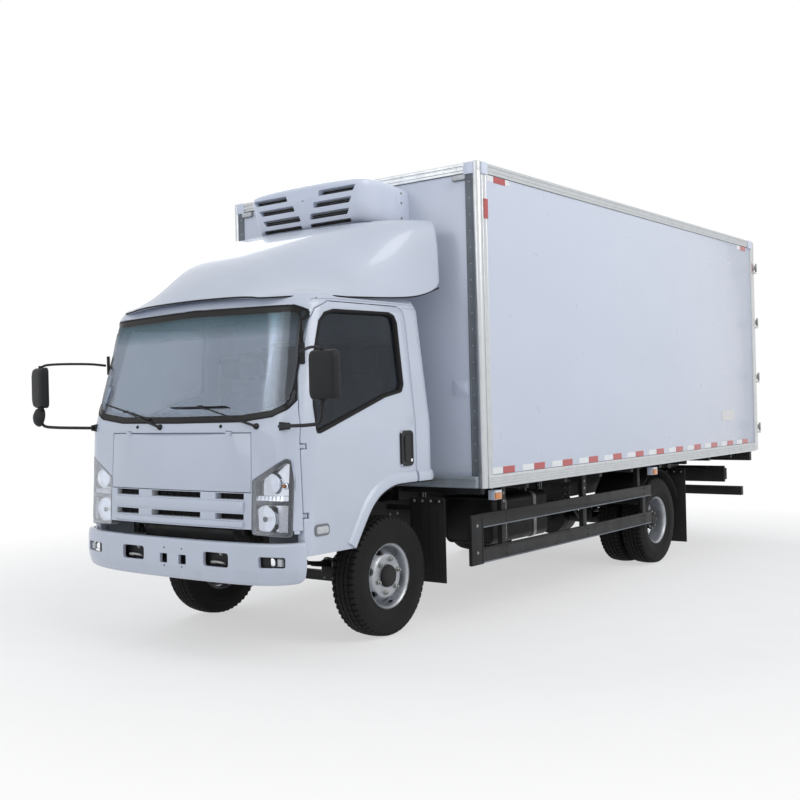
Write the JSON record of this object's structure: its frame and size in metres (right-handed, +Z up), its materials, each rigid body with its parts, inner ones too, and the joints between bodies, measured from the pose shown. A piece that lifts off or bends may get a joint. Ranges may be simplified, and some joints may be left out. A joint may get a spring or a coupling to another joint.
{
  "type": "refrigerated light truck",
  "caption": "Cab-over light truck with an insulated box body, nose-mounted refrigeration unit, tilting cab, opening doors, steered front wheels and twin rear wheels.",
  "frame": {"origin": "on the ground under the middle of the overall length and width", "axes": "+Y towards the rear of the vehicle, +X to its left, +Z up"},
  "size_m": [2.854, 7.431, 3.217],
  "materials": {
    "cab_white": "gloss white enamel",
    "box_white": "smooth white gel coat",
    "chassis_black": "satin black paint",
    "black_plastic": "grained black plastic",
    "tyre_rubber": "black rubber",
    "wheel_silver": "silver paint",
    "glass": "tinted glass",
    "lamp_clear": "clear lamp over chrome reflector",
    "interior_grey": "grained grey plastic",
    "seat_fabric": "woven seat cloth",
    "cast_iron": "bare casting",
    "aluminium": "mill finish",
    "unit_white": "moulded white cover",
    "steel_grey": "plain steel"
  },
  "bodies": {
    "chassis": {"chassis_frame": "chassis_black", "front_axle": "chassis_black", "rear_axle": "chassis_black", "leaf_springs": "chassis_black", "engine_block": "cast_iron", "propshaft": "chassis_black", "fuel_tank": "chassis_black", "battery_box": "black_plastic", "exhaust": "steel_grey", "side_guards": "chassis_black", "mudguards": "black_plastic", "underrun_bar": "chassis_black", "front_bumper": "cab_white", "box_floor": "box_white", "box_left_wall": "box_white", "box_right_wall": "box_white", "box_front_wall": "box_white", "box_roof": "box_white", "box_rear_frame": "aluminium", "refrigeration_unit": "unit_white", "evaporator": "unit_white"},
    "cab": {"cab_floor": "interior_grey", "cab_front": "cab_white", "cab_back_wall": "cab_white", "cab_roof": "cab_white", "cab_glass": "glass", "headlamps": "lamp_clear", "dashboard": "interior_grey", "steering_wheel": "black_plastic", "seats": "seat_fabric", "roof_deflector": "cab_white", "mirrors": "black_plastic", "wipers": "black_plastic"},
    "front_lid": {"front_lid": "cab_white"},
    "left_door": {"left_door": "cab_white", "left_door_glass": "glass"},
    "right_door": {"right_door": "cab_white", "right_door_glass": "glass"},
    "left_rear_door": {"left_rear_door": "box_white"},
    "right_rear_door": {"right_rear_door": "box_white"},
    "left_knuckle": {"left_knuckle": "chassis_black"},
    "right_knuckle": {"right_knuckle": "chassis_black"},
    "left_front_wheel": {"left_front_rim": "wheel_silver", "left_front_tyre": "tyre_rubber"},
    "right_front_wheel": {"right_front_rim": "wheel_silver", "right_front_tyre": "tyre_rubber"},
    "left_rear_wheels": {"left_rear_rims": "wheel_silver", "left_rear_tyres": "tyre_rubber"},
    "right_rear_wheels": {"right_rear_rims": "wheel_silver", "right_rear_tyres": "tyre_rubber"}
  },
  "joints": [
    {"name": "cab_tilt", "type": "hinge", "parent": "chassis", "child": "cab", "pos_m": [0, -3.5005, 0.817], "axis": [1, 0, 0], "range_deg": [0, 45]},
    {"name": "front_lid_lift", "type": "hinge", "parent": "cab", "child": "front_lid", "pos_m": [0, -3.5905, 1.389], "axis": [-1, 0, 0], "range_deg": [0, 60]},
    {"name": "left_door_swing", "type": "hinge", "parent": "cab", "child": "left_door", "pos_m": [0.97, -3.4555, 1.112], "axis": [0, 0, -1], "range_deg": [0, 68]},
    {"name": "right_door_swing", "type": "hinge", "parent": "cab", "child": "right_door", "pos_m": [-0.97, -3.4555, 1.112], "axis": [0, 0, 1], "range_deg": [0, 68]},
    {"name": "left_rear_door_swing", "type": "hinge", "parent": "chassis", "child": "left_rear_door", "pos_m": [1.208, 3.7045, 2.012], "axis": [0, 0, -1], "range_deg": [0, 265]},
    {"name": "right_rear_door_swing", "type": "hinge", "parent": "chassis", "child": "right_rear_door", "pos_m": [-1.208, 3.7045, 2.012], "axis": [0, 0, 1], "range_deg": [0, 265]},
    {"name": "left_steer", "type": "hinge", "parent": "chassis", "child": "left_knuckle", "pos_m": [0.7, -2.5505, 0.4], "axis": [0, 0, 1], "range_deg": [-38, 38]},
    {"name": "right_steer", "type": "hinge", "parent": "chassis", "child": "right_knuckle", "pos_m": [-0.7, -2.5505, 0.4], "axis": [0, 0, 1], "range_deg": [-38, 38]},
    {"name": "left_front_wheel_spin", "type": "hinge", "parent": "left_knuckle", "child": "left_front_wheel", "pos_m": [0.795, -2.5505, 0.4], "axis": [1, 0, 0], "continuous": true},
    {"name": "right_front_wheel_spin", "type": "hinge", "parent": "right_knuckle", "child": "right_front_wheel", "pos_m": [-0.795, -2.5505, 0.4], "axis": [1, 0, 0], "continuous": true},
    {"name": "left_rear_wheels_spin", "type": "hinge", "parent": "chassis", "child": "left_rear_wheels", "pos_m": [0.98, 1.2645, 0.4], "axis": [1, 0, 0], "continuous": true},
    {"name": "right_rear_wheels_spin", "type": "hinge", "parent": "chassis", "child": "right_rear_wheels", "pos_m": [-0.98, 1.2645, 0.4], "axis": [1, 0, 0], "continuous": true}
  ],
  "couplings": [
    {"joint": "right_steer", "follows": "left_steer", "ratio": 1}
  ]
}
